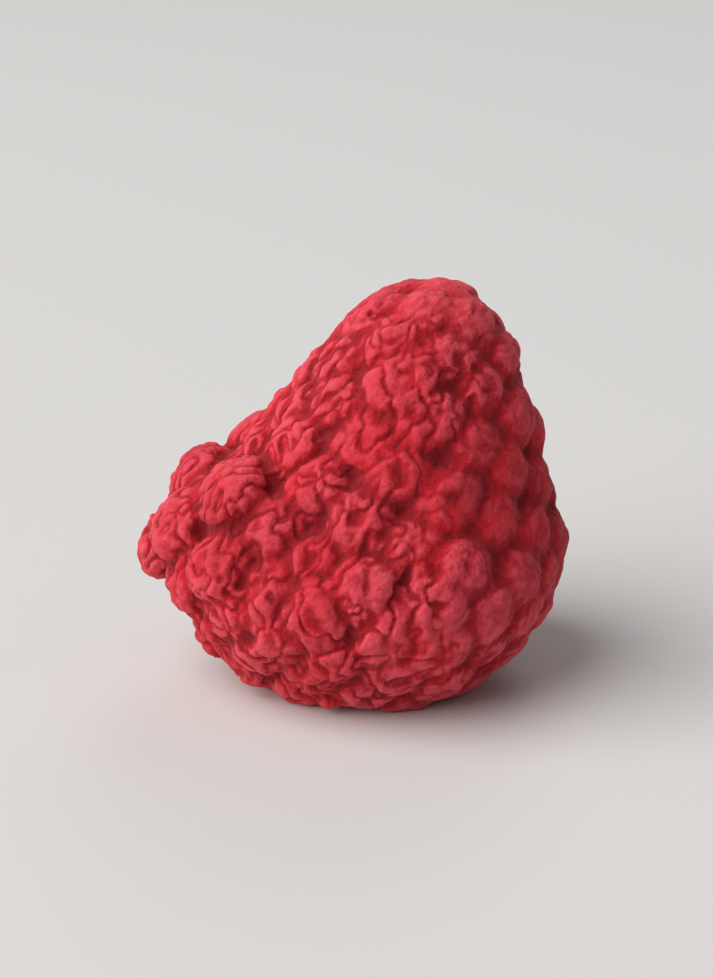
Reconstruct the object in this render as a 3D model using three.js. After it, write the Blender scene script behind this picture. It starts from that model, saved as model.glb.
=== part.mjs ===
// A freeze-dried raspberry, picked and hulled, standing on the rim of its hollow with the tip up.
// Millimetres, +Z up. The origin is on the surface that it stands on, under the middle of the fruit.
// The fruit is one body: a hollow cone of drupelets, the small round fruitlets that are grown together.
import * as THREE from "three";
import { mergeVertices } from "three/addons/utils/BufferGeometryUtils.js";

// Driving dimensions of the fruit, measured over the crowns of the drupelets
const fruitHeight = 17;
const fruitWidth = 16.1;
const frontToBack = 0.95; // the fruit is a little flattened, to this share of its width
const tipShift = 2.8; // the tip leans this far towards +X
const standingFlat = 0.45; // how far the lowest crowns are pressed flat where the fruit stands

// The hollow that the core of the plant leaves, open downwards
const hollowMouth = 7;
const hollowWaist = 6.9;
const hollowWaistHeight = 7.4;
const hollowHeight = 12.2;

// Drupelets
const drupeletSpacing = 2.5;
const drupeletHalfWidth = 1.55;
const drupeletHalfDepth = 1.2;
const deepestSeam = 0.85; // below the crowns, where three drupelets meet
const seamSoftness = 0.1; // how far the seams are rounded
const sizeSpread = 0.11; // larger and smaller than the middle size, by this share
const placeSpread = 0.13; // off the regular place, by this share of the spacing
const goldenAngle = Math.PI * (3 - Math.sqrt(5));
const seed = 29;

// The side swelling: drupelets on the left that stand out sideways from the slope, like a shelf
const swelling = { out: 2, height: 8.3, above: 1.8, below: 2.6, turn: 1.01 * Math.PI, halfTurn: 0.65 };

// Mesh
const faceDivisions = 23; // of each icosahedron edge; the body has 20 (n + 1)^2 triangles
const hollowDetail = 0.22; // the share of detail that the smooth part of the hollow gets

// Half of the section through the fruit: down the outside over the crowns, round the rim, and up
// the wall of the hollow. [distance from the axis, height]
const halfWidth = fruitWidth / 2;
const outside = [
  [0, fruitHeight],
  [0.23 * halfWidth, 0.975 * fruitHeight],
  [0.43 * halfWidth, 0.885 * fruitHeight],
  [0.64 * halfWidth, 0.72 * fruitHeight],
  [0.85 * halfWidth, 0.5 * fruitHeight],
  [0.99 * halfWidth, 0.34 * fruitHeight],
  [0.94 * halfWidth, 0.2 * fruitHeight],
  [0.76 * halfWidth, 0.08 * fruitHeight],
  [0.53 * halfWidth, 0],
];
const hollow = [
  [hollowMouth / 2, 0.06 * fruitHeight],
  [hollowMouth / 2, 0.2 * fruitHeight],
  [hollowWaist / 2, hollowWaistHeight],
  [hollowWaist / 4, hollowHeight - 0.8],
  [0, hollowHeight],
];
const section = new THREE.SplineCurve([...outside, ...hollow].map(([r, z]) => new THREE.Vector2(r, z)));
const sectionSteps = 600;
const sectionPoints = section.getPoints(sectionSteps);
const stepsPerPoint = sectionSteps / (outside.length + hollow.length - 1);
const rimStep = Math.round(stepsPerPoint * (outside.length - 1)); // the lowest point of the rim
const lipStep = Math.round(rimStep + 0.45 * stepsPerPoint); // the last drupelets curl in to here
const smoothStep = Math.round(rimStep + 1.5 * stepsPerPoint); // the seams run out here

// The surface between the tip and each point of the section, by a weight for each step
function surfaceUpTo(weight) {
  const total = [0];
  for (let i = 1; i <= sectionSteps; i++) {
    const [a, b] = [sectionPoints[i - 1], sectionPoints[i]];
    total.push(total[i - 1] + weight(i) * Math.PI * (a.x + b.x) * a.distanceTo(b));
  }
  return total;
}

// The place on the section, counted in steps, where that surface reaches an amount
function stepAt(total, amount) {
  let [low, high] = [0, total.length - 1];
  while (high - low > 1) {
    const middle = (low + high) >> 1;
    if (total[middle] < amount) low = middle;
    else high = middle;
  }
  return low + Math.min(1, (amount - total[low]) / (total[high] - total[low]));
}

function swellingAt(turn, height) {
  const away = Math.atan2(Math.sin(turn - swelling.turn), Math.cos(turn - swelling.turn));
  const side = away / swelling.halfTurn;
  const up = height - swelling.height;
  const reach = up > 0 ? swelling.above : swelling.below;
  return swelling.out * Math.exp(-(side ** 4) - (up / reach) ** 4);
}

// A point on the smooth surface over the crowns, and the way it faces. The swelling is outside only.
function surfaceAt(step, turn) {
  const i = Math.min(sectionSteps - 1, Math.floor(step));
  const at = sectionPoints[i].clone().lerp(sectionPoints[i + 1], step - i);
  const way = sectionPoints[i + 1].clone().sub(sectionPoints[i]).normalize();
  const out = new THREE.Vector3(-way.y * Math.cos(turn), -way.y * Math.sin(turn), way.x);
  const radius = at.x + (step < rimStep ? swellingAt(turn, at.y) : 0);
  const point = new THREE.Vector3(radius * Math.cos(turn), radius * Math.sin(turn), at.y);
  return { point, out };
}

// A repeatable stream of numbers from -1 to 1
function numberStream(start) {
  let state = start;
  return () => {
    state = (1664525 * state + 1013904223) % 4294967296;
    return state / 2147483648 - 1;
  };
}

// The crowns of the drupelets and their sizes. They follow each other round the fruit by the golden
// angle, each on the same amount of surface, from the tip to the lip of the hollow.
function drupelets() {
  const total = surfaceUpTo(() => 1).slice(0, lipStep + 1);
  const whole = total[lipStep];
  const count = Math.round(whole / (drupeletSpacing ** 2 * Math.sqrt(0.75)));
  const next = numberStream(seed);
  return Array.from({ length: count }, (_, k) => {
    const place = (k + 0.5 + next() * placeSpread) / count;
    const step = stepAt(total, place * whole);
    const radius = Math.max(sectionPoints[Math.round(step)].x, drupeletSpacing);
    const turn = k * goldenAngle + (next() * placeSpread * drupeletSpacing) / radius;
    const size = 1 + next() * sizeSpread;
    return { crown: surfaceAt(step, turn).point, size };
  });
}

// How far a point of the smooth surface sinks between the drupelets round it, down to a floor. It
// is the least of their sinks, with the creases between them rounded.
function sinkAt(point, all, deepest) {
  let sum = Math.exp(-deepest / seamSoftness);
  for (const { crown, size } of all) {
    const away = point.distanceTo(crown) / (drupeletHalfWidth * size);
    if (away >= 1) continue;
    const sink = drupeletHalfDepth * size * (1 - Math.sqrt(1 - away ** 2)) - (size - 1) * drupeletHalfWidth;
    sum += Math.exp(-sink / seamSoftness);
  }
  return -seamSoftness * Math.log(sum);
}

// Leans the tip, flattens the fruit from front to back and presses its lowest crowns flat
function settled(point) {
  const height = Math.max(0, point.z - standingFlat);
  const lean = tipShift * (height / fruitHeight) ** 1.5;
  return new THREE.Vector3(point.x + lean, point.y * frontToBack, height);
}

// The icosahedron's faces are spread over the section: its north pole is the fruit's tip, and its
// south pole is the top of the hollow.
function raspberryGeometry() {
  const ball = new THREE.IcosahedronGeometry(1, faceDivisions);
  ball.deleteAttribute("normal");
  ball.deleteAttribute("uv");
  const geometry = mergeVertices(ball, 1e-5);
  const position = geometry.attributes.position;
  const detail = surfaceUpTo((i) => (i <= smoothStep ? 1 : hollowDetail));
  const whole = detail[sectionSteps];
  const all = drupelets();
  for (let i = 0; i < position.count; i++) {
    const z = THREE.MathUtils.clamp(position.getZ(i), -1, 1);
    const step = stepAt(detail, ((1 - z) / 2) * whole);
    const turn = Math.atan2(position.getY(i), position.getX(i));
    const { point, out } = surfaceAt(step, turn);
    const inside = THREE.MathUtils.smoothstep(step, rimStep, smoothStep);
    point.addScaledVector(out, -sinkAt(point, all, deepestSeam * (1 - inside)));
    position.setXYZ(i, ...settled(point).toArray());
  }
  geometry.computeBoundingBox();
  const middle = geometry.boundingBox.getCenter(new THREE.Vector3());
  geometry.translate(-middle.x, -middle.y, -geometry.boundingBox.min.z);
  geometry.computeVertexNormals();
  return geometry;
}

const driedFlesh = new THREE.MeshStandardMaterial({ color: 0xb02a33, roughness: 0.92, metalness: 0 });
const raspberry = new THREE.Mesh(raspberryGeometry(), driedFlesh);
raspberry.name = "raspberry";

const part = new THREE.Group();
part.add(raspberry);
export default part;
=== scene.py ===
# %% [markdown]
# A freeze-dried raspberry, in Blender
#
# A raspberry is a hollow cone of small round fruitlets, the drupelets. Freeze-drying keeps its size
# and colour but takes the gloss away: the skins crumple, some crowns sink in to a ring, and the ridges
# turn pale and powdery. This lesson grows the fruit from the rule that a real one follows, fuses it to
# one skin, crumples it and then colours it by its own relief, with painted shade in the seams and
# creases and painted highlights on the ridges.

# %% Load the solid model that the fruit has to match
import math

import bpy
import numpy as np
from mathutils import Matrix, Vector


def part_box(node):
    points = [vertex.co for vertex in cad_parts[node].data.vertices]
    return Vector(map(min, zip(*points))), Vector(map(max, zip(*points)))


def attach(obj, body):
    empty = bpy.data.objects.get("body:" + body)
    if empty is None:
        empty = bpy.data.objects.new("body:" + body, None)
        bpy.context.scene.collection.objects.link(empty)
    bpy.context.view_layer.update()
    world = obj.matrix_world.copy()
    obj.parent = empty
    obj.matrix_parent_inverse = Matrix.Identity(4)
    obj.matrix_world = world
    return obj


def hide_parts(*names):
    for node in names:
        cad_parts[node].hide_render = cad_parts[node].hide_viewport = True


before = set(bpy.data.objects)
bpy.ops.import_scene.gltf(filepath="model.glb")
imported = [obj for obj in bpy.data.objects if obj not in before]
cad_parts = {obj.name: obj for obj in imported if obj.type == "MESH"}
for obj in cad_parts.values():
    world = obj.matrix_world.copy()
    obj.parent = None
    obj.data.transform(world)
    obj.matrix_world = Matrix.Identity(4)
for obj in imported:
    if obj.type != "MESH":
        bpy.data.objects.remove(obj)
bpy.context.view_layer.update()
solid_low, solid_high = (np.array(corner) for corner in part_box("raspberry"))
print("the solid fruit measures, in mm:", ((solid_high - solid_low) * 1000).round(2))

# %% [markdown]
# The sizes are those of the solid model. The shape is worked out in millimetres, because the voxels
# and noises are then plain numbers, and it is turned to metres when it is finished.

# %% Sizes of the fruit, in millimetres
FRUIT_HEIGHT = 17.0
HALF_WIDTH = 8.05
FRONT_TO_BACK = 0.95
TIP_SHIFT = 2.8
STANDING_FLAT = 0.45

MOUTH_RADIUS = 3.5
WAIST_RADIUS = 3.45
WAIST_HEIGHT = 7.4
HOLLOW_HEIGHT = 12.2

SPACING = 2.5
DRUPELET_HALF_WIDTH = 1.55
DRUPELET_HALF_DEPTH = 1.2
DEEPEST_SEAM = 0.85
SIZE_SPREAD = 0.11
PLACE_SPREAD = 0.13
LIP_SHRINKING = 0.18
PAST_LIP_SHRINKING = 0.45
GOLDEN_ANGLE = math.pi * (3 - math.sqrt(5))
SEED = 29

SWELLING = {
    "out": 2.0, "height": 8.3, "above": 1.8, "below": 2.6, "turn": 1.01 * math.pi, "half_turn": 0.65
}

# %% [markdown]
# Half of the section through the fruit runs from the tip over the crowns of the drupelets, round the
# rim and up the wall of the hollow. A Catmull-Rom curve joins the points, so few of them are needed.
# Places past the rim are counted in those points: the lip ends at 0.45 and the seams run out at 1.5.

# %% The section through the fruit
OUTSIDE = [
    (0, FRUIT_HEIGHT),
    (0.23 * HALF_WIDTH, 0.975 * FRUIT_HEIGHT),
    (0.43 * HALF_WIDTH, 0.885 * FRUIT_HEIGHT),
    (0.64 * HALF_WIDTH, 0.72 * FRUIT_HEIGHT),
    (0.85 * HALF_WIDTH, 0.5 * FRUIT_HEIGHT),
    (0.99 * HALF_WIDTH, 0.34 * FRUIT_HEIGHT),
    (0.94 * HALF_WIDTH, 0.2 * FRUIT_HEIGHT),
    (0.76 * HALF_WIDTH, 0.08 * FRUIT_HEIGHT),
    (0.53 * HALF_WIDTH, 0),
]
HOLLOW = [
    (MOUTH_RADIUS, 0.06 * FRUIT_HEIGHT),
    (MOUTH_RADIUS, 0.2 * FRUIT_HEIGHT),
    (WAIST_RADIUS, WAIST_HEIGHT),
    (WAIST_RADIUS / 2, HOLLOW_HEIGHT - 0.8),
    (0, HOLLOW_HEIGHT),
]
SECTION_STEPS = 600
LIP_END = 0.45
SEAMS_END = 1.5


def catmull_rom(points, steps):
    """Points at even steps along the curve through the given ones."""
    padded = np.array([points[0], *points, points[-1]], float)
    along = np.linspace(0, len(points) - 1, steps + 1)
    piece = np.minimum(along.astype(int), len(points) - 2)
    t = (along - piece)[:, None]
    before, start, end, after = (padded[piece + i] for i in range(4))
    leave, arrive = (end - before) / 2, (after - start) / 2
    cubic = 2 * start - 2 * end + leave + arrive
    square = -3 * start + 3 * end - 2 * leave - arrive
    return cubic * t**3 + square * t**2 + leave * t + start


section = catmull_rom(OUTSIDE + HOLLOW, SECTION_STEPS)
steps_per_point = SECTION_STEPS / (len(OUTSIDE) + len(HOLLOW) - 1)
rim_step = round(steps_per_point * (len(OUTSIDE) - 1))
lip_step = round(rim_step + LIP_END * steps_per_point)
smooth_step = round(rim_step + SEAMS_END * steps_per_point)
print("the section has", len(section), "points, and its rim is at", section[rim_step].round(2))

# %% [markdown]
# Turning the section round the axis gives the smooth skin that touches every crown. On the left the
# drupelets stand out sideways from the slope like a shelf, so the skin swells there. The same function
# places the crowns and makes the skins, so they always agree.

# %% The smooth skin over the crowns
segment_way = np.diff(section, axis=0)
segment_way /= np.linalg.norm(segment_way, axis=1)[:, None]


def smoothstep(value, low, high):
    t = np.clip((value - low) / (high - low), 0, 1)
    return t * t * (3 - 2 * t)


def swelling_at(turn, height):
    away = (turn - SWELLING["turn"] + math.pi) % (2 * math.pi) - math.pi
    side = away / SWELLING["half_turn"]
    up = height - SWELLING["height"]
    reach = np.where(up > 0, SWELLING["above"], SWELLING["below"])
    return SWELLING["out"] * np.exp(-(side**4) - (up / reach) ** 4)


def skin_at(step, turn):
    """A point of the smooth skin and the way that it faces, for arrays of steps and turns."""
    i = np.minimum(np.floor(step).astype(int), SECTION_STEPS - 1)
    part = (step - i)[:, None]
    at = section[i] * (1 - part) + section[i + 1] * part
    way = segment_way[i]
    round_z = np.stack([np.cos(turn), np.sin(turn)], 1)
    facing = np.column_stack([-way[:, 1:] * round_z, way[:, :1]])
    radius = at[:, 0] + np.where(step < rim_step, swelling_at(turn, at[:, 1]), 0)
    return np.column_stack([radius[:, None] * round_z, at[:, 1:]]), facing


# %% [markdown]
# On the plant each new drupelet sits a golden angle on from the last, on an equal share of the skin.
# That one rule makes the crossing spirals that every raspberry shows. A small seeded stream of random
# numbers pushes each one a little off its place and changes its size. The drupelets on the lip had less
# room, and those that curl in past it had least, so they are smaller.

# %% Where the drupelets grow
LIP_WIDTH = 0.6
SMALLEST_BEFORE_END = 6


def number_stream(start):
    """A repeatable stream of numbers from -1 to 1."""
    state = start
    while True:
        state = (1664525 * state + 1013904223) % 4294967296
        yield state / 2147483648 - 1


def skin_up_to(first, last):
    """The area of the skin from a first step to each later one."""
    a, b = section[first:last], section[first + 1 : last + 1]
    areas = math.pi * (a[:, 0] + b[:, 0]) * np.linalg.norm(b - a, axis=1)
    return np.concatenate([[0], np.cumsum(areas)])


def spiral_of_crowns(first, last, spacing, seed):
    """Crowns over the skin between two steps: their steps, turns and sizes."""
    total = skin_up_to(first, last)
    count = round(total[-1] / (spacing**2 * math.sqrt(0.75)))
    numbers = number_stream(seed)
    steps, turns, sizes = np.zeros(count), np.zeros(count), np.zeros(count)
    for k in range(count):
        place = (k + 0.5 + next(numbers) * PLACE_SPREAD) / count
        steps[k] = first + np.interp(place * total[-1], total, np.arange(len(total)))
        radius = max(section[round(steps[k])][0], spacing)
        turns[k] = k * GOLDEN_ANGLE + next(numbers) * PLACE_SPREAD * spacing / radius
        sizes[k] = 1 + next(numbers) * SIZE_SPREAD
    return steps, turns, sizes


crown_steps, crown_turns, crown_sizes = spiral_of_crowns(0, lip_step, SPACING, SEED)
on_lip = smoothstep(crown_steps, rim_step - LIP_WIDTH * steps_per_point, rim_step)
past_lip = smoothstep(crown_steps, rim_step, lip_step - SMALLEST_BEFORE_END)
crown_sizes -= LIP_SHRINKING * on_lip + PAST_LIP_SHRINKING * past_lip
crowns, crown_facing = skin_at(crown_steps, crown_turns)
print(len(crowns), "drupelets cover the outside")

# %% [markdown]
# Geometry Nodes write formulas as boxes and wires, which is slow to read in a script. The small class
# below lets a socket be added and multiplied like a number, so that a tree's formula stays a formula.

# %% Short ways to write a node tree
class Field:
    """An output of a node tree that can be used in a formula."""

    def __init__(self, tree, socket):
        self.tree = tree
        self.socket = socket

    def through(self, operation, *others):
        node = self.tree.nodes.new("ShaderNodeMath")
        node.operation = operation
        for socket, value in zip(node.inputs, (self, *others)):
            plug(self.tree, socket, value)
        return Field(self.tree, node.outputs[0])

    def vector_through(self, operation, *others):
        node = self.tree.nodes.new("ShaderNodeVectorMath")
        node.operation = operation
        sockets = [node.inputs[0], node.inputs["Scale"]] if operation == "SCALE" else node.inputs
        for socket, value in zip(sockets, (self, *others)):
            plug(self.tree, socket, value)
        is_number = operation in ("LENGTH", "DOT_PRODUCT", "DISTANCE")
        return Field(self.tree, node.outputs["Value" if is_number else "Vector"])

    def __add__(self, other):
        return self.through("ADD", other)

    def __sub__(self, other):
        return self.through("SUBTRACT", other)

    def __mul__(self, other):
        return self.through("MULTIPLY", other)

    def __truediv__(self, other):
        return self.through("DIVIDE", other)

    def size(self):
        return self.through("ABSOLUTE")

    def rise(self, low, high):
        """0 below low, 1 above high and a smooth step between."""
        values = {"Value": self, "From Min": low, "From Max": high}
        step = add(self.tree, "ShaderNodeMapRange", values, interpolation_type="SMOOTHSTEP")
        return Field(self.tree, step.outputs["Result"])


def plug(tree, socket, value):
    """Wires a field or another socket in to a socket, or sets its plain value."""
    if isinstance(value, Field):
        value = value.socket
    if isinstance(value, bpy.types.NodeSocket):
        tree.links.new(value, socket)
    else:
        socket.default_value = value


def add(tree, kind, values=None, **settings):
    node = tree.nodes.new(kind)
    for name, value in settings.items():
        setattr(node, name, value)
    for key, value in (values or {}).items():
        plug(tree, node.inputs[key], value)
    return node


def new_tree(name, inputs):
    """A geometry tree with named inputs, and its fields by name. Sizes are in millimetres here."""
    tree = bpy.data.node_groups.new(name, "GeometryNodeTree")
    tree.interface.new_socket("Geometry", in_out="INPUT", socket_type="NodeSocketGeometry")
    tree.interface.new_socket("Geometry", in_out="OUTPUT", socket_type="NodeSocketGeometry")
    for label, kind in inputs.items():
        tree.interface.new_socket(label, in_out="INPUT", socket_type="NodeSocket" + kind)
    start = tree.nodes.new("NodeGroupInput")
    return tree, {socket.name: Field(tree, socket) for socket in start.outputs if socket.name}


def end_tree(tree, geometry, material):
    real = add(tree, "GeometryNodeRealizeInstances", {"Geometry": geometry})
    painted = add(tree, "GeometryNodeSetMaterial", {"Geometry": real.outputs[0], "Material": material})
    end = tree.nodes.new("NodeGroupOutput")
    tree.links.new(painted.outputs[0], end.inputs["Geometry"])


def named(tree, name, kind):
    node = add(tree, "GeometryNodeInputNamedAttribute", {"Name": name}, data_type=kind)
    return Field(tree, node.outputs["Attribute"])


def noise(tree, place, scale, detail=2.0, distortion=0.0):
    values = {"Vector": place, "Scale": scale, "Detail": detail, "Distortion": distortion}
    return Field(tree, add(tree, "ShaderNodeTexNoise", values).outputs[0])


def run_tree(obj, tree, values):
    """Adds the tree to an object as a modifier, its inputs set by their identifiers."""
    modifier = obj.modifiers.new(tree.name, "NODES")
    modifier.node_group = tree
    for item in tree.interface.items_tree:
        if item.in_out == "INPUT" and item.name in values:
            modifier[item.identifier] = values[item.name]


def plain_mesh(obj, name):
    """The object's evaluated shape as a new plain mesh."""
    seen = obj.evaluated_get(bpy.context.evaluated_depsgraph_get())
    mesh = bpy.data.meshes.new_from_object(seen)
    mesh.name = name
    return mesh


def new_object(name, mesh):
    obj = bpy.data.objects.new(name, mesh)
    bpy.context.scene.collection.objects.link(obj)
    return obj


# %% [markdown]
# Under the drupelets is the flesh that holds them together: a thick-walled cone, open below. It is the
# smooth skin again, sunk to the bottom of the seams on the outside and left in place in the hollow. The
# rim is thin, so beside it the wall fills nearly half the depth of the seams.

# %% The wall of flesh under the drupelets
WALL_ROWS = 150
WALL_COLUMNS = 144
RIM_FILLING = 0.45
FILLING_BEGINS = 1.4
FILLING_FULL = 0.2


def wall_of_flesh():
    steps = np.linspace(0, SECTION_STEPS, WALL_ROWS)
    turns = np.linspace(0, 2 * math.pi, WALL_COLUMNS, endpoint=False)
    grid_steps, grid_turns = (g.ravel() for g in np.meshgrid(steps[1:-1], turns, indexing="ij"))
    poles = np.array([0, SECTION_STEPS]), np.zeros(2)
    all_steps = np.concatenate([grid_steps, poles[0]])
    points, facing = skin_at(all_steps, np.concatenate([grid_turns, poles[1]]))
    facing[-2:, :2] = 0
    begins, full = (rim_step - n * steps_per_point for n in (FILLING_BEGINS, FILLING_FULL))
    beside_rim = smoothstep(all_steps, begins, full)
    in_hollow = smoothstep(all_steps, rim_step, smooth_step)
    sunk = DEEPEST_SEAM * (1 - RIM_FILLING * beside_rim) * (1 - in_hollow)
    points -= facing * sunk[:, None]
    rows = WALL_ROWS - 2
    index = np.arange(rows * WALL_COLUMNS).reshape(rows, WALL_COLUMNS)
    ahead = np.roll(index, -1, axis=1)
    faces = np.stack([index[:-1], index[1:], ahead[1:], ahead[:-1]], -1).reshape(-1, 4).tolist()
    tip, top = rows * WALL_COLUMNS, rows * WALL_COLUMNS + 1
    faces += [(tip, a, b) for a, b in zip(index[0].tolist(), ahead[0].tolist())]
    faces += [(top, b, a) for a, b in zip(index[-1].tolist(), ahead[-1].tolist())]
    mesh = bpy.data.meshes.new("flesh")
    mesh.from_pydata(points, [], faces)
    return mesh


fruit = new_object("fruit_in_the_making", wall_of_flesh())
print("the wall of flesh has", len(fruit.data.polygons), "faces")

# %% [markdown]
# Each crown becomes a bare point that carries what its drupelet needs to know: the way it faces, its
# size, how far it has sunk in as it dried, and a random place in the noise so that no two are alike.
# In the photograph the drupelets on the left and low in front have sunk most, and the right side has
# kept its softer lumps.

# %% The points that the drupelets grow on
HOLLOW_SPACING = 2.3
TO_LEFT, TO_FRONT, DOWNWARDS = 0.75, 0.5, 0.15
MIDDLE_HEIGHT = 8
LEAST_SUNKEN = 0.25
SUNKEN_BY_PLACE = 0.55
SUNKEN_BY_LUCK = 0.5


def random_numbers(count, seed):
    return np.random.default_rng(seed).random(count)


def growing_points(name, places, facing, sizes, collapse, seed):
    mesh = bpy.data.meshes.new(name)
    mesh.from_pydata(places, [], [])
    count = len(places)
    luck = np.stack([random_numbers(count, seed + i) for i in range(3)], 1)
    for label, kind, values in (
        ("facing", "FLOAT_VECTOR", facing),
        ("luck", "FLOAT_VECTOR", luck),
        ("growth", "FLOAT", sizes),
        ("collapse", "FLOAT", collapse),
    ):
        layer = mesh.attributes.new(label, kind, "POINT")
        layer.data.foreach_set("vector" if kind == "FLOAT_VECTOR" else "value", np.ravel(values))
    return new_object(name, mesh)


def sunken_share(places):
    """How far each drupelet has sunk in, from 0 to 1."""
    x, y, z = places.T
    towards_side = -TO_LEFT * x - TO_FRONT * y - DOWNWARDS * (z - MIDDLE_HEIGHT)
    by_place = smoothstep(towards_side / HALF_WIDTH, -0.7, 0.6)
    by_luck = random_numbers(len(places), SEED + 10)
    share = LEAST_SUNKEN + SUNKEN_BY_PLACE * by_place + SUNKEN_BY_LUCK * (by_luck - 0.5)
    return np.clip(share, 0, 1)


outer_points = growing_points(
    "outer_points", crowns, crown_facing, crown_sizes, sunken_share(crowns), SEED + 20
)

inner_steps, inner_turns, inner_sizes = spiral_of_crowns(
    smooth_step, SECTION_STEPS, HOLLOW_SPACING, SEED + 1
)
inner_places, inner_facing = skin_at(inner_steps, inner_turns)
inner_points = growing_points(
    "inner_points", inner_places, inner_facing, inner_sizes, np.zeros(len(inner_sizes)), SEED + 30
)
print(len(inner_places), "feet of drupelets show in the hollow")

# %% [markdown]
# A drupelet starts as a ball, flattened along the way it faces. As it dries it loses its roundness, and
# its crown may sink to a shallow ring. Both are formulas on the ball's own coordinates, so each copy
# takes its own form from its own place in the noise.

# %% The tree that grows the drupelets
NOISE_REACH = 40.0
FORM_NOISE = 1.1
OVAL = (0.85, 1.1, 0.0)
DENT_RADIUS = 0.4
DENT_UNEVENNESS = 0.8

flesh_material = bpy.data.materials.new("dried_flesh")


def drupelet_tree():
    tree, given = new_tree("grow_drupelets", {
        "Points": "Object",
        "Half width": "Float",
        "Half depth": "Float",
        "Stand out": "Float",
        "Sunken depth": "Float",
        "Unevenness": "Float",
        "Material": "Material",
    })
    points = add(tree, "GeometryNodeObjectInfo", {"Object": given["Points"]}).outputs["Geometry"]
    facing, growth = named(tree, "facing", "FLOAT_VECTOR"), named(tree, "growth", "FLOAT")
    rise = (growth - 1.0) * given["Half width"] - given["Half depth"] * growth + given["Stand out"]
    offset = facing.vector_through("SCALE", rise)
    centres = add(tree, "GeometryNodeSetPosition", {"Geometry": points, "Offset": offset})

    ball = add(tree, "GeometryNodeMeshIcoSphere", {"Radius": 1.0, "Subdivisions": 5})
    place = add(tree, "GeometryNodeInputPosition").outputs[0]
    marked = add(
        tree, "GeometryNodeStoreNamedAttribute",
        {"Geometry": ball.outputs["Mesh"], "Name": "on_ball", "Value": place},
        data_type="FLOAT_VECTOR", domain="POINT",
    )
    luck = add(tree, "ShaderNodeSeparateXYZ", {"Vector": named(tree, "luck", "FLOAT_VECTOR")})
    spin = Field(tree, luck.outputs["X"]) * (2 * math.pi)
    turned = add(tree, "FunctionNodeAxisAngleToRotation", {"Axis": (0, 0, 1), "Angle": spin})
    aimed = add(
        tree, "FunctionNodeAlignRotationToVector",
        {"Rotation": turned.outputs[0], "Vector": facing}, axis="Z",
    )
    across = given["Half width"] * growth
    scale = add(
        tree, "ShaderNodeCombineXYZ", {"X": across, "Y": across, "Z": given["Half depth"] * growth}
    )
    copies = add(
        tree, "GeometryNodeInstanceOnPoints",
        {"Points": centres.outputs[0], "Instance": marked.outputs[0],
         "Rotation": aimed.outputs[0], "Scale": scale.outputs[0]},
    )
    balls = add(tree, "GeometryNodeRealizeInstances", {"Geometry": copies.outputs[0]}).outputs[0]

    on_ball, collapse = named(tree, "on_ball", "FLOAT_VECTOR"), named(tree, "collapse", "FLOAT")
    own_place = named(tree, "luck", "FLOAT_VECTOR").vector_through("SCALE", NOISE_REACH)
    wandering = on_ball.vector_through("ADD", own_place)
    uneven = noise(tree, wandering, FORM_NOISE, detail=1.0) - 0.5
    oval = on_ball.vector_through("MULTIPLY", OVAL).vector_through("LENGTH")
    from_crown = oval + uneven * DENT_UNEVENNESS
    sunken = from_crown.rise(DENT_RADIUS, 0.0) * given["Sunken depth"] * collapse
    outward = uneven * given["Unevenness"] - sunken
    normal = Field(tree, add(tree, "GeometryNodeInputNormal").outputs[0])
    dried = add(
        tree, "GeometryNodeSetPosition",
        {"Geometry": balls, "Offset": normal.vector_through("SCALE", outward)},
    )
    both = add(tree, "GeometryNodeJoinGeometry")
    tree.links.new(dried.outputs[0], both.inputs[0])
    tree.links.new(given["Geometry"].socket, both.inputs[0])
    end_tree(tree, both.outputs[0], given["Material"])
    return tree


grow_drupelets = drupelet_tree()
run_tree(fruit, grow_drupelets, {
    "Points": outer_points,
    "Half width": DRUPELET_HALF_WIDTH,
    "Half depth": DRUPELET_HALF_DEPTH,
    "Stand out": -0.05,
    "Sunken depth": 0.25,
    "Unevenness": 0.16,
    "Material": flesh_material,
})
run_tree(fruit, grow_drupelets, {
    "Points": inner_points,
    "Half width": 1.3,
    "Half depth": 0.9,
    "Stand out": 0.28,
    "Sunken depth": 0.0,
    "Unevenness": 0.3,
    "Material": flesh_material,
})
print("the tree has", len(grow_drupelets.nodes), "nodes and is used for the outside and the hollow")

# %% [markdown]
# The balls and the wall still pass through each other. A voxel remesh wraps all of them in one closed
# skin, as the real fruit has, and rounds the seams by about a voxel.

# %% Fuse everything to one skin
VOXEL = 0.1

fuse = fruit.modifiers.new("fuse", "REMESH")
fuse.mode = "VOXEL"
fuse.voxel_size = VOXEL
fuse.use_smooth_shade = True

# %% [markdown]
# Shrunken skin draws up in rounded folds, about a millimetre wide, that wander like worms, with narrow
# creases between them. A slow noise crosses its middle value along lines that wander in the same way,
# so the distance of the noise from that value is nothing in a crease and grows to the top of a fold.
# The folds come after the fusing, because they run on over the seams. The left and the front are the
# folded side, with small pits as well. The plump side has weak folds on soft lumps, which are the cells
# of a Voronoi texture, and its seams are softened. The hollow and the standing rim keep few marks.

# %% The tree that folds the skin
TOWARDS_FOLDED_SIDE = (-0.83, -0.55, 0.0)
CREASE_SHARE = 0.19
LUMP_ROUNDING = 1.7
PATCH_SCALE = 0.25
PATCHINESS = 1.6
FOLDS_ON_PLUMP_SIDE = 0.3
SOFT_ON_PLUMP_SIDE = 0.9
SOFT_ON_FOLDED_SIDE = 0.2
PIT_RADIUS, PIT_FLOOR = 0.19, 0.06
MARKS_IN_HOLLOW = 0.15
MARKS_ON_GROUND = 0.4


def at_least(share, least):
    """Presses a share of 0 to 1 into the range from least to 1."""
    return share * (1 - least) + least


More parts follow.
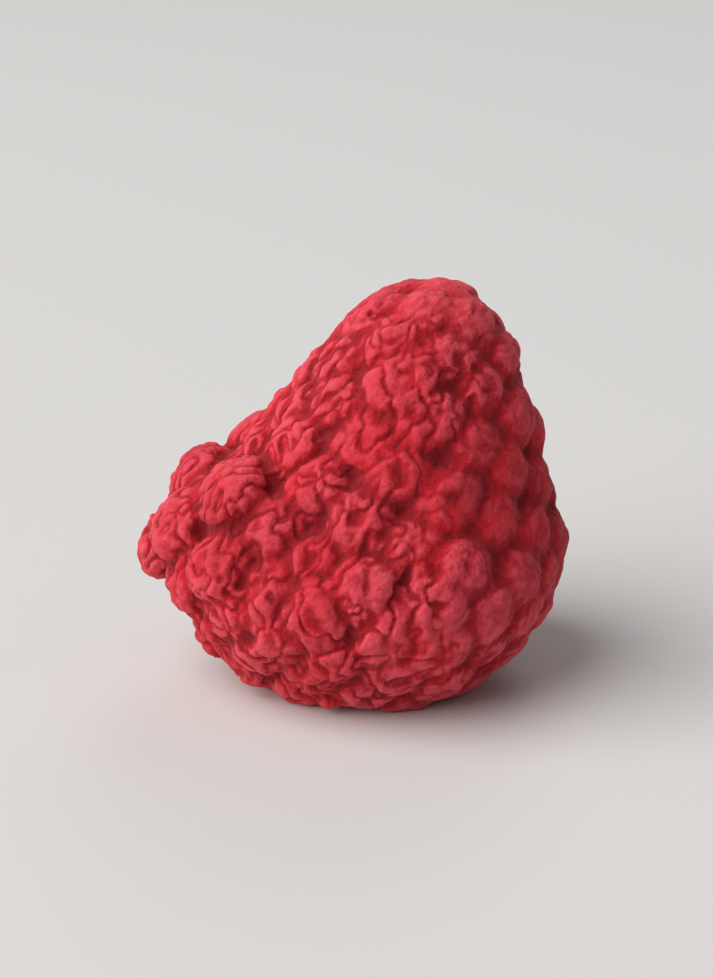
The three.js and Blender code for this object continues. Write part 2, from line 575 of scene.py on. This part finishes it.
def fold_tree():
    tree, given = new_tree("fold_skin", {
        "Softening": "Int",
        "Fold width": "Float",
        "Fold depth": "Float",
        "Lump width": "Float",
        "Lump depth": "Float",
        "Wrinkle width": "Float",
        "Wrinkle depth": "Float",
        "Pit spacing": "Float",
        "Pit depth": "Float",
        "Grain size": "Float",
        "Grain depth": "Float",
        "Drawn out": "Float",
        "Twist": "Float",
        "Material": "Material",
    })
    place = Field(tree, add(tree, "GeometryNodeInputPosition").outputs[0])
    one = Field(tree, add(tree, "ShaderNodeValue").outputs[0])
    one.socket.default_value = 1.0
    stretch = add(tree, "ShaderNodeCombineXYZ", {"X": 1.0, "Y": 1.0, "Z": one / given["Drawn out"]})
    swirl = add(tree, "ShaderNodeTexNoise", {"Vector": place, "Scale": 0.5, "Detail": 1.0})
    push = Field(tree, swirl.outputs["Color"]).vector_through("SUBTRACT", (0.5, 0.5, 0.5))
    twisted = place.vector_through("ADD", push.vector_through("SCALE", given["Twist"]))
    drawn = twisted.vector_through("MULTIPLY", Field(tree, stretch.outputs[0]))

    def creased(at, width):
        """Below 0 in the creases between wandering folds, and 0 on top of them."""
        off_middle = (noise(tree, at, one / width, 1.0) - 0.5).size()
        share = (off_middle / CREASE_SHARE).through("MINIMUM", 1.0)
        return share * (share * -1.0 + 2.0) - 1.0

    def cells(at, spacing):
        values = {"Vector": at, "Scale": one / spacing, "Randomness": 1.0}
        return Field(tree, add(tree, "ShaderNodeTexVoronoi", values).outputs["Distance"])

    folds = creased(drawn, given["Fold width"]) * given["Fold depth"]
    from_middle = cells(drawn, given["Lump width"])
    lumps = (from_middle * from_middle * -LUMP_ROUNDING).through("MAXIMUM", -1.0) * given["Lump depth"]
    sideways = place.vector_through("DOT_PRODUCT", TOWARDS_FOLDED_SIDE) / HALF_WIDTH
    patchy = noise(tree, place, PATCH_SCALE, 1.0) - 0.5
    folded = (sideways + patchy * PATCHINESS).rise(0.0, 0.6)
    wrinkles = creased(place, given["Wrinkle width"]) * given["Wrinkle depth"]
    pits = cells(drawn, given["Pit spacing"]).rise(PIT_RADIUS, PIT_FLOOR) * given["Pit depth"]
    grain = (noise(tree, place, one / given["Grain size"], 2.0) - 0.5) * 2.0 * given["Grain depth"]
    fold_share = at_least(folded, FOLDS_ON_PLUMP_SIDE)
    marks = lumps + (folds - lumps) * fold_share + wrinkles - pits * folded

    height = Field(tree, add(tree, "ShaderNodeSeparateXYZ", {"Vector": place}).outputs["Z"])
    from_axis = place.vector_through("MULTIPLY", (1.0, 1.0, 0.0)).vector_through("LENGTH")
    beside_hollow = from_axis.rise(MOUTH_RADIUS - 0.2, MOUTH_RADIUS + 0.6)
    above_hollow = height.rise(HOLLOW_HEIGHT + 0.4, HOLLOW_HEIGHT + 1.4)
    outside = at_least(beside_hollow.through("MAXIMUM", above_hollow), MARKS_IN_HOLLOW)
    off_ground = at_least(height.rise(STANDING_FLAT, STANDING_FLAT + 1.2), MARKS_ON_GROUND)
    normal = Field(tree, add(tree, "GeometryNodeInputNormal").outputs[0])
    offset = normal.vector_through("SCALE", marks * outside * off_ground + grain)
    around = add(
        tree, "GeometryNodeBlurAttribute",
        {"Value": place, "Iterations": given["Softening"]}, data_type="FLOAT_VECTOR",
    )
    to_soft = Field(tree, around.outputs["Value"]).vector_through("SUBTRACT", place)
    softness = folded * (SOFT_ON_FOLDED_SIDE - SOFT_ON_PLUMP_SIDE) + SOFT_ON_PLUMP_SIDE
    by_side = to_soft.vector_through("SCALE", softness)
    softened = add(
        tree, "GeometryNodeSetPosition", {"Geometry": given["Geometry"], "Offset": by_side}
    )
    moved = add(tree, "GeometryNodeSetPosition", {"Geometry": softened.outputs[0], "Offset": offset})
    end_tree(tree, moved.outputs[0], given["Material"])
    return tree


run_tree(fruit, fold_tree(), {
    "Softening": 7,
    "Fold width": 1.0,
    "Fold depth": 0.2,
    "Lump width": 1.7,
    "Lump depth": 0.12,
    "Wrinkle width": 0.6,
    "Wrinkle depth": 0.03,
    "Pit spacing": 1.9,
    "Pit depth": 0.24,
    "Grain size": 0.35,
    "Grain depth": 0.02,
    "Drawn out": 1.3,
    "Twist": 1.4,
    "Material": flesh_material,
})
crumpled = new_object("crumpled_fruit", plain_mesh(fruit, "crumpled_fruit"))
triangles = sum(len(face.vertices) - 2 for face in crumpled.data.polygons)
print("the fused skin has", triangles, "triangles")

# %% [markdown]
# The skin has many more triangles than it needs. Decimate takes them out where the surface is flat and
# keeps them on the folds.

# %% Thin out the skin
MOST_TRIANGLES = 190_000

thin = crumpled.modifiers.new("thin", "DECIMATE")
thin.ratio = min(1, MOST_TRIANGLES / triangles)

# %% [markdown]
# Dried fruit is coloured by its own relief: what stands out is pale, partly from dust and partly as a
# painted highlight, and the seams and creases are darkened as painted shade. So the relief is measured
# once and stored on the skin, for the material to read. The measure is how far a point stands out from
# the average of its neighbourhood. The random place of the nearest drupelet is stored as well, so that
# each drupelet can have its own tint.

# %% The tree that measures the relief
def relief_tree():
    tree, given = new_tree("measure_relief", {
        "Points": "Object",
        "Fine steps": "Int",
        "Coarse steps": "Int",
        "Material": "Material",
    })
    place = Field(tree, add(tree, "GeometryNodeInputPosition").outputs[0])
    normal = Field(tree, add(tree, "GeometryNodeInputNormal").outputs[0])

    def standing_out(steps):
        values = {"Value": place, "Iterations": steps}
        around = add(tree, "GeometryNodeBlurAttribute", values, data_type="FLOAT_VECTOR")
        step_out = place.vector_through("SUBTRACT", Field(tree, around.outputs["Value"]))
        return step_out.vector_through("DOT_PRODUCT", normal)

    points = add(tree, "GeometryNodeObjectInfo", {"Object": given["Points"]}).outputs["Geometry"]
    nearest = add(tree, "GeometryNodeSampleNearest", {"Geometry": points}, domain="POINT")

    of_nearest = add(
        tree, "GeometryNodeSampleIndex",
        {"Geometry": points, "Value": named(tree, "luck", "FLOAT_VECTOR"),
         "Index": nearest.outputs[0]},
        data_type="FLOAT_VECTOR", domain="POINT",
    )
    geometry = given["Geometry"]
    for label, kind, value in (
        ("fine_relief", "FLOAT", standing_out(given["Fine steps"])),
        ("coarse_relief", "FLOAT", standing_out(given["Coarse steps"])),
        ("own_luck", "FLOAT_VECTOR", Field(tree, of_nearest.outputs[0])),
    ):
        stored = add(
            tree, "GeometryNodeStoreNamedAttribute",
            {"Geometry": geometry, "Name": label, "Value": value}, data_type=kind, domain="POINT",
        )
        geometry = stored.outputs[0]
    end_tree(tree, geometry, given["Material"])
    return tree


run_tree(crumpled, relief_tree(), {
    "Points": outer_points,
    "Fine steps": 8,
    "Coarse steps": 120,
    "Material": flesh_material,
})
skin = plain_mesh(crumpled, "raspberry_skin")
print("the thinned skin has", len(skin.polygons), "triangles")

# %% [markdown]
# Last, the whole fruit settles: its tip leans, it is a little flatter from front to back, and its lowest
# crowns are pressed flat where it stands. Then it is turned to metres and moved on to the solid.

# %% Settle the fruit and turn it to metres
HOLLOW_EDGE = (-0.1, 1.3)


def points_of(mesh):
    flat = np.zeros(len(mesh.vertices) * 3, np.float32)
    mesh.vertices.foreach_get("co", flat)
    return flat.reshape(-1, 3).astype(float)


def numbers_of(mesh, label):
    flat = np.zeros(len(mesh.vertices), np.float32)
    mesh.attributes[label].data.foreach_get("value", flat)
    return flat


def settled(points):
    height = np.maximum(0, points[:, 2] - STANDING_FLAT)
    lean = TIP_SHIFT * (height / FRUIT_HEIGHT) ** 1.5
    return np.column_stack([points[:, 0] + lean, points[:, 1] * FRONT_TO_BACK, height])


def inside_share(points):
    """1 on the wall of the hollow and 0 outside, for points before they settle."""
    wall = section[rim_step:]
    heights, radii = wall[:, 1], wall[:, 0]
    order = np.argsort(heights)
    hollow_radius = np.interp(points[:, 2], heights[order], radii[order], right=0)
    past_wall = np.hypot(points[:, 0], points[:, 1]) - hollow_radius
    return (1 - smoothstep(past_wall, *HOLLOW_EDGE)) * (points[:, 2] < HOLLOW_HEIGHT + 0.5)


grown = points_of(skin)
layer = skin.attributes.new("hollow", "FLOAT", "POINT")
layer.data.foreach_set("value", inside_share(grown).astype(np.float32))
final = settled(grown) * 0.001
middle = (final.min(0) + final.max(0)) / 2
final[:, :2] += ((solid_low + solid_high) / 2 - middle)[:2]
skin.vertices.foreach_set("co", final.astype(np.float32).ravel())
skin.update()
for relief in ("fine_relief", "coarse_relief"):
    print(relief, "spans", np.percentile(numbers_of(skin, relief), [2, 25, 50, 75, 98]).round(3))

raspberry = new_object("raspberry_skin", skin)
for scrap in (fruit, crumpled, outer_points, inner_points):
    bpy.data.objects.remove(scrap)
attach(raspberry, "root")
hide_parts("raspberry")
print("the fruit measures, in mm:", (np.ptp(final, axis=0) * 1000).round(2))

# %% [markdown]
# The dried flesh is matte. Its colour runs from a dark wine red in the seams and creases, which is
# painted shade, through crimson on the flanks, to a pale dusty pink on the crowns and ridges, which is
# partly dust and partly a painted highlight. Each drupelet has its own shade of crimson, and the dust
# lies thicker in some patches. The reliefs that choose the colours are in millimetres. A little light
# spreads under the skin, and the grain that is finer than the mesh is a bump.

# %% The dried flesh
def srgb(red, green, blue):
    """A colour as seen on a screen, 0 to 255, as the linear one that shaders use."""
    parts = [c / 255 for c in (red, green, blue)]
    return (*(c / 12.92 if c <= 0.04045 else ((c + 0.055) / 1.055) ** 2.4 for c in parts), 1)


CRIMSON = srgb(180, 12, 30)
BRIGHT_CRIMSON = srgb(196, 18, 33)
BLOTCH = srgb(164, 12, 30)
# Painted shade, for the seams between the drupelets.
SEAM_SHADE_RED = srgb(146, 9, 24)
# Painted shade, for the creases of the folds.
CREASE_SHADE_RED = srgb(132, 6, 18)
# Partly dust and partly a painted highlight, for the crowns.
CROWN_DUST_AND_HIGHLIGHT = srgb(216, 66, 80)
# Partly dust and partly a painted highlight, for the fine ridges.
POWDER_AND_HIGHLIGHT = srgb(226, 84, 98)
HOLLOW_PINK = srgb(205, 112, 112)
SHEEN_PINK = srgb(255, 190, 190)


def mixed(tree, share, below, above):
    values = {0: share, 6: below, 7: above}
    node = add(tree, "ShaderNodeMix", values, data_type="RGBA")
    return Field(tree, node.outputs[2])


def shader_start(material):
    material.use_nodes = True
    tree = material.node_tree
    tree.nodes.clear()
    surface = tree.nodes.new("ShaderNodeBsdfPrincipled")
    end = tree.nodes.new("ShaderNodeOutputMaterial")
    tree.links.new(surface.outputs[0], end.inputs["Surface"])
    return tree, surface


def stored(tree, label, output="Fac"):
    return Field(tree, add(tree, "ShaderNodeAttribute", attribute_name=label).outputs[output])


def make_flesh(material):
    tree, surface = shader_start(material)
    place = Field(tree, add(tree, "ShaderNodeTexCoord").outputs["Object"])
    fine, coarse = stored(tree, "fine_relief"), stored(tree, "coarse_relief")
    luck = add(tree, "ShaderNodeSeparateXYZ", {"Vector": stored(tree, "own_luck", "Vector")})
    blotches = noise(tree, place, 450.0, 3.0)
    specks = noise(tree, place, 3500.0, 3.0)
    dusty = noise(tree, place, 170.0, 2.0).rise(0.38, 0.6)

    crimson = mixed(tree, Field(tree, luck.outputs["Y"]), CRIMSON, BRIGHT_CRIMSON)
    crimson = mixed(tree, blotches.rise(0.4, 0.65), crimson, BLOTCH)
    # Painted shade: the colour turns a darker red where the coarse relief lies low, in the seams between
    # drupelets.
    seam_shade = coarse.rise(0.02, -0.25)
    colour = mixed(tree, seam_shade, crimson, SEAM_SHADE_RED)
    # Partly dust and partly a painted highlight: crowns that stand out turn pale pink, more where the
    # dust patches lie.
    crown = coarse.rise(0.03, 0.16)
    colour = mixed(tree, crown * (dusty * 0.4 + 0.2), colour, CROWN_DUST_AND_HIGHLIGHT)
    # Painted shade: the colour turns a darker red in the creases, where the fine relief lies low.
    crease = fine.rise(0.0, -0.045)
    colour = mixed(tree, crease * 0.55, colour, CREASE_SHADE_RED)
    # Partly dust and partly a painted highlight: pale specks on the tops of the fine ridges.
    powder_and_highlight = fine.rise(0.0, 0.04) * specks.rise(0.3, 0.6)
    colour = mixed(tree, powder_and_highlight * (dusty * 0.35 + 0.25), colour, POWDER_AND_HIGHLIGHT)
    colour = mixed(tree, stored(tree, "hollow") * 0.55, colour, HOLLOW_PINK)
    plug(tree, surface.inputs["Base Color"], colour)
    rough = Field(tree, add(tree, "ShaderNodeMapRange", {
        "Value": specks, "From Min": 0.3, "From Max": 0.7, "To Min": 0.72, "To Max": 0.95,
    }).outputs["Result"])
    plug(tree, surface.inputs["Roughness"], rough)
    surface.inputs["Specular IOR Level"].default_value = 0.3
    surface.inputs["Sheen Weight"].default_value = 0.12
    surface.inputs["Sheen Roughness"].default_value = 0.5
    surface.inputs["Sheen Tint"].default_value = SHEEN_PINK
    surface.inputs["Subsurface Weight"].default_value = 0.35
    surface.inputs["Subsurface Radius"].default_value = (1.0, 0.35, 0.28)
    surface.inputs["Subsurface Scale"].default_value = 0.0006
    height = noise(tree, place, 5200.0, 4.0) + noise(tree, place, 1700.0, 2.0) * 0.8
    bump = add(tree, "ShaderNodeBump", {"Height": height, "Strength": 0.9, "Distance": 0.00012})
    plug(tree, surface.inputs["Normal"], bump.outputs[0])


make_flesh(flesh_material)
print("the flesh is painted with", len(flesh_material.node_tree.nodes), "nodes")

# %% [markdown]
# The floor is plain and pale, and so large beside the fruit that it reaches the camera's horizon.

# %% The floor
FLOOR_HALF = 1.5


def make_floor():
    mesh = bpy.data.meshes.new("floor")
    corners = [(-1, -1), (1, -1), (1, 1), (-1, 1)]
    mesh.from_pydata([(x * FLOOR_HALF, y * FLOOR_HALF, 0) for x, y in corners], [], [(0, 1, 2, 3)])
    floor = new_object("floor", mesh)
    material = bpy.data.materials.new("pale_floor")
    surface = shader_start(material)[1]
    surface.inputs["Base Color"].default_value = srgb(218, 215, 212)
    surface.inputs["Roughness"].default_value = 0.8
    mesh.materials.append(material)
    return floor


make_floor()

# %% [markdown]
# The light of the photograph comes from the upper left and a little in front, soft, with the right
# side of the fruit in shade. A large key light does that, with a weak light from behind, which draws
# the outline, and an even pale world round them.

# %% The lights
def area_light(name, place, size, power):
    light = bpy.data.lights.new(name, "AREA")
    light.shape = "DISK"
    light.size = size
    light.energy = power
    obj = new_object(name, light)
    obj.location = place
    aim = Vector((0, 0, 0.007)) - Vector(place)
    obj.rotation_mode = "QUATERNION"
    obj.rotation_quaternion = aim.to_track_quat("-Z", "Y")
    return obj


area_light("key_light", (-0.54, -0.26, 0.54), 1.1, 10.4)
area_light("back_light", (0.15, 0.6, 0.45), 0.4, 0.8)
world = bpy.data.worlds.new("studio")
bpy.context.scene.world = world
world.use_nodes = True
world.node_tree.nodes["Background"].inputs["Color"].default_value = srgb(235, 238, 242)
world.node_tree.nodes["Background"].inputs["Strength"].default_value = 0.24
bpy.context.scene.view_settings.view_transform = "Standard"

# %% [markdown]
# The camera looks at the fruit from the photograph's angle, level with its front and a little from
# above, through a long lens.

# %% The camera
CAMERA_ELEVATION = math.radians(18)
CAMERA_DISTANCE = 0.092
LENS = 85
TARGET = Vector((0.0002, 0, 0.0078))

camera_data = bpy.data.cameras.new("camera")
camera_data.lens = LENS
camera_data.clip_start = 0.005
camera = new_object("camera", camera_data)
back = Vector((0, -math.cos(CAMERA_ELEVATION), math.sin(CAMERA_ELEVATION)))
camera.location = TARGET + back * CAMERA_DISTANCE
camera.rotation_mode = "QUATERNION"
camera.rotation_quaternion = (-back).to_track_quat("-Z", "Y")
bpy.context.scene.camera = camera
